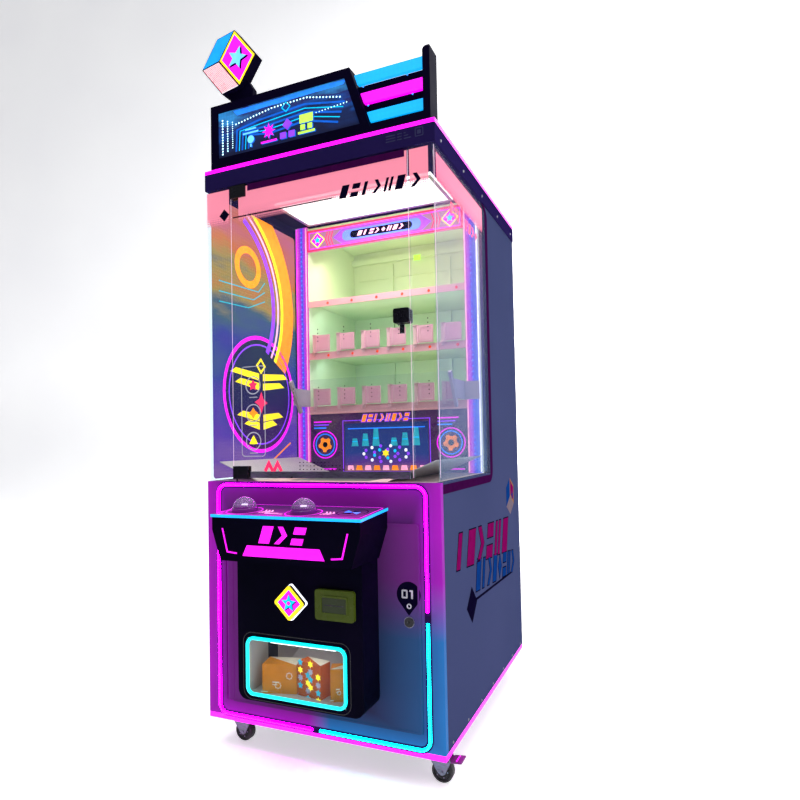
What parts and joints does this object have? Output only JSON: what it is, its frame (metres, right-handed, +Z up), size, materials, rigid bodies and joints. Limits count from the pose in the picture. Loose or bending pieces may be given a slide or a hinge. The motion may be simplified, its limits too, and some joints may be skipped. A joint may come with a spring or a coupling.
{
  "type": "prize vending game cabinet",
  "caption": "Tall glass-front prize vending game on casters: lane gates on lit shelves, screen, dome push buttons, bill acceptor and lit prize outlet in a console door.",
  "frame": {"origin": "on the floor under the middle of the cabinet's overall width and depth", "axes": "+Z up, the front faces -Y, +X to the right of someone facing the front"},
  "size_m": [0.834, 1.168, 2.305],
  "materials": {
    "navy_steel": "satin powder coat, blue-grey",
    "head_navy": "satin powder coat, navy",
    "black_plastic": "semi-gloss black",
    "clear_acrylic": "polished clear acrylic",
    "window_glass": "clear toughened glass",
    "magenta_light": "lit silicone diffuser",
    "cyan_light": "lit silicone diffuser",
    "white_light": "lit opal diffuser",
    "mint_steel": "satin white powder coat",
    "rail_pink": "satin powder coat, pale",
    "gate_plate": "satin moulded plastic",
    "bracket_steel": "zinc plated",
    "pressed_steel": "zinc plated pressed steel",
    "black_tyre": "black moulded wheel",
    "pedal_red": "moulded nylon",
    "screen_black": "screen behind printed surround",
    "banner_pink": "lit printed acrylic",
    "floor_tan": "satin powder coat, warm grey",
    "olive_plastic": "translucent tinted plastic",
    "sign_print": "lit printed acrylic",
    "carton": "printed folding carton",
    "dome_clear": "clear dome over a bright reflector",
    "chrome_lock": "chrome plated",
    "case_steel": "galvanised sheet",
    "topper_black": "satin black",
    "depth_window": "tinted mirror window"
  },
  "bodies": {
    "cabinet": {"base_frame": "navy_steel", "side_panel_left": "navy_steel", "side_panel_right": "navy_steel", "front_frame": "navy_steel", "rear_panel": "navy_steel", "head_band": "head_navy", "light_strips": "magenta_light", "side_glass": "window_glass", "front_glass_strips": "window_glass", "showcase_floor": "floor_tan", "prize_chute": "floor_tan", "shelf_liner": "mint_steel", "display_shelves": "rail_pink", "lane_brackets": "bracket_steel", "clear_baffle": "clear_acrylic", "display_unit": "screen_black", "header_banner": "banner_pink", "interior_lights": "white_light", "electronics_box": "case_steel", "power_inlet": "black_plastic", "topper_frame": "topper_black", "topper_panels": "depth_window", "cube_sign": "sign_print"},
    "glass_door": {"glass_door": "window_glass"},
    "glass_lock": {"glass_lock": "chrome_lock"},
    "service_door": {"service_door": "navy_steel", "door_console": "black_plastic", "outlet_light_ring": "cyan_light", "bill_unit": "olive_plastic", "diamond_sign": "sign_print", "prize_boxes": "carton", "control_box": "black_plastic", "control_plate": "banner_pink"},
    "door_lock": {"door_lock": "chrome_lock"},
    "prize_flap": {"prize_flap": "clear_acrylic"},
    "rear_door": {"rear_door": "navy_steel"},
    "button_left": {"button_left": "dome_clear"},
    "button_right": {"button_right": "dome_clear"},
    "gate_lower_1": {"gate_lower_1": "gate_plate"},
    "gate_lower_2": {"gate_lower_2": "gate_plate"},
    "gate_lower_3": {"gate_lower_3": "gate_plate"},
    "gate_lower_4": {"gate_lower_4": "gate_plate"},
    "gate_lower_5": {"gate_lower_5": "gate_plate"},
    "gate_lower_6": {"gate_lower_6": "gate_plate"},
    "gate_upper_1": {"gate_upper_1": "gate_plate"},
    "gate_upper_2": {"gate_upper_2": "gate_plate"},
    "gate_upper_3": {"gate_upper_3": "gate_plate"},
    "gate_upper_4": {"gate_upper_4": "gate_plate"},
    "gate_upper_5": {"gate_upper_5": "gate_plate"},
    "gate_upper_6": {"gate_upper_6": "gate_plate"},
    "caster_fork_front_left": {"caster_fork_front_left": "pressed_steel"},
    "caster_wheel_front_left": {"caster_wheel_front_left": "black_tyre"},
    "caster_fork_front_right": {"caster_fork_front_right": "pressed_steel"},
    "caster_wheel_front_right": {"caster_wheel_front_right": "black_tyre"},
    "caster_fork_rear_left": {"caster_fork_rear_left": "pressed_steel"},
    "caster_wheel_rear_left": {"caster_wheel_rear_left": "black_tyre"},
    "caster_fork_rear_right": {"caster_fork_rear_right": "pressed_steel"},
    "caster_wheel_rear_right": {"caster_wheel_rear_right": "black_tyre"},
    "brake_pedal_front_left": {"brake_pedal_front_left": "pedal_red"},
    "brake_pedal_front_right": {"brake_pedal_front_right": "pedal_red"}
  },
  "joints": [
    {"name": "glass_door_hinge", "type": "hinge", "parent": "cabinet", "child": "glass_door", "pos_m": [-0.29, -0.3975, 1.29], "axis": [0, 0, -1], "range_deg": [0, 110]},
    {"name": "glass_lock_turn", "type": "hinge", "parent": "glass_door", "child": "glass_lock", "pos_m": [0.286, -0.3975, 1.315], "axis": [0, -1, 0], "range_deg": [0, 90]},
    {"name": "service_door_hinge", "type": "hinge", "parent": "cabinet", "child": "service_door", "pos_m": [-0.319, -0.3985, 0.44], "axis": [0, 0, -1], "range_deg": [0, 100]},
    {"name": "door_lock_turn", "type": "hinge", "parent": "service_door", "child": "door_lock", "pos_m": [0.301, -0.3985, 0.457], "axis": [0, -1, 0], "range_deg": [0, 90]},
    {"name": "prize_flap_swing", "type": "hinge", "parent": "service_door", "child": "prize_flap", "pos_m": [-0.01, -0.5025, 0.382], "axis": [-1, 0, 0], "range_deg": [0, 75]},
    {"name": "rear_door_hinge", "type": "hinge", "parent": "cabinet", "child": "rear_door", "pos_m": [-0.24, 0.5705, 0.89], "axis": [0, 0, 1], "range_deg": [0, 100]},
    {"name": "button_left_press", "type": "slide", "parent": "service_door", "child": "button_left", "axis": [0, 0.0704, -0.9975], "range_m": [0, 0.006], "stiffness_N_per_m": 400, "springref_m": -0.004},
    {"name": "button_right_press", "type": "slide", "parent": "service_door", "child": "button_right", "axis": [0, 0.0704, -0.9975], "range_m": [0, 0.006], "stiffness_N_per_m": 400, "springref_m": -0.004},
    {"name": "gate_lower_1_hinge", "type": "hinge", "parent": "cabinet", "child": "gate_lower_1", "pos_m": [-0.29, 0.1045, 1.14], "axis": [0, 0, -1], "range_deg": [0, 90]},
    {"name": "gate_lower_2_hinge", "type": "hinge", "parent": "cabinet", "child": "gate_lower_2", "pos_m": [-0.182, 0.1045, 1.14], "axis": [0, 0, -1], "range_deg": [0, 90]},
    {"name": "gate_lower_3_hinge", "type": "hinge", "parent": "cabinet", "child": "gate_lower_3", "pos_m": [-0.074, 0.1045, 1.14], "axis": [0, 0, -1], "range_deg": [0, 90]},
    {"name": "gate_lower_4_hinge", "type": "hinge", "parent": "cabinet", "child": "gate_lower_4", "pos_m": [0.034, 0.1045, 1.14], "axis": [0, 0, -1], "range_deg": [0, 90]},
    {"name": "gate_lower_5_hinge", "type": "hinge", "parent": "cabinet", "child": "gate_lower_5", "pos_m": [0.142, 0.1045, 1.14], "axis": [0, 0, -1], "range_deg": [0, 90]},
    {"name": "gate_lower_6_hinge", "type": "hinge", "parent": "cabinet", "child": "gate_lower_6", "pos_m": [0.25, 0.1045, 1.14], "axis": [0, 0, -1], "range_deg": [0, 90]},
    {"name": "gate_upper_1_hinge", "type": "hinge", "parent": "cabinet", "child": "gate_upper_1", "pos_m": [-0.29, 0.1045, 1.354], "axis": [0, 0, -1], "range_deg": [0, 90]},
    {"name": "gate_upper_2_hinge", "type": "hinge", "parent": "cabinet", "child": "gate_upper_2", "pos_m": [-0.182, 0.1045, 1.354], "axis": [0, 0, -1], "range_deg": [0, 90]},
    {"name": "gate_upper_3_hinge", "type": "hinge", "parent": "cabinet", "child": "gate_upper_3", "pos_m": [-0.074, 0.1045, 1.354], "axis": [0, 0, -1], "range_deg": [0, 90]},
    {"name": "gate_upper_4_hinge", "type": "hinge", "parent": "cabinet", "child": "gate_upper_4", "pos_m": [0.034, 0.1045, 1.354], "axis": [0, 0, -1], "range_deg": [0, 90]},
    {"name": "gate_upper_5_hinge", "type": "hinge", "parent": "cabinet", "child": "gate_upper_5", "pos_m": [0.142, 0.1045, 1.354], "axis": [0, 0, -1], "range_deg": [0, 90]},
    {"name": "gate_upper_6_hinge", "type": "hinge", "parent": "cabinet", "child": "gate_upper_6", "pos_m": [0.25, 0.1045, 1.354], "axis": [0, 0, -1], "range_deg": [0, 90]},
    {"name": "swivel_front_left", "type": "hinge", "parent": "cabinet", "child": "caster_fork_front_left", "pos_m": [-0.34, -0.3365, 0.08], "axis": [0, 0, 1], "continuous": true},
    {"name": "wheel_spin_front_left", "type": "hinge", "parent": "caster_fork_front_left", "child": "caster_wheel_front_left", "pos_m": [-0.314, -0.3365, 0.0315], "axis": [0, 1, 0], "continuous": true},
    {"name": "brake_front_left", "type": "hinge", "parent": "caster_fork_front_left", "child": "brake_pedal_front_left", "pos_m": [-0.294, -0.3365, 0.064], "axis": [0, 1, 0], "range_deg": [0, 12]},
    {"name": "swivel_front_right", "type": "hinge", "parent": "cabinet", "child": "caster_fork_front_right", "pos_m": [0.34, -0.3365, 0.08], "axis": [0, 0, 1], "continuous": true},
    {"name": "wheel_spin_front_right", "type": "hinge", "parent": "caster_fork_front_right", "child": "caster_wheel_front_right", "pos_m": [0.366, -0.3365, 0.0315], "axis": [0, 1, 0], "continuous": true},
    {"name": "brake_front_right", "type": "hinge", "parent": "caster_fork_front_right", "child": "brake_pedal_front_right", "pos_m": [0.386, -0.3365, 0.064], "axis": [0, 1, 0], "range_deg": [0, 12]},
    {"name": "swivel_rear_left", "type": "hinge", "parent": "cabinet", "child": "caster_fork_rear_left", "pos_m": [-0.34, 0.5085, 0.08], "axis": [0, 0, 1], "continuous": true},
    {"name": "wheel_spin_rear_left", "type": "hinge", "parent": "caster_fork_rear_left", "child": "caster_wheel_rear_left", "pos_m": [-0.3187, 0.52341, 0.0315], "axis": [-0.5736, 0.8192, 0], "continuous": true},
    {"name": "swivel_rear_right", "type": "hinge", "parent": "cabinet", "child": "caster_fork_rear_right", "pos_m": [0.34, 0.5085, 0.08], "axis": [0, 0, 1], "continuous": true},
    {"name": "wheel_spin_rear_right", "type": "hinge", "parent": "caster_fork_rear_right", "child": "caster_wheel_rear_right", "pos_m": [0.32779, 0.53146, 0.0315], "axis": [-0.8829, -0.4695, 0], "continuous": true}
  ]
}
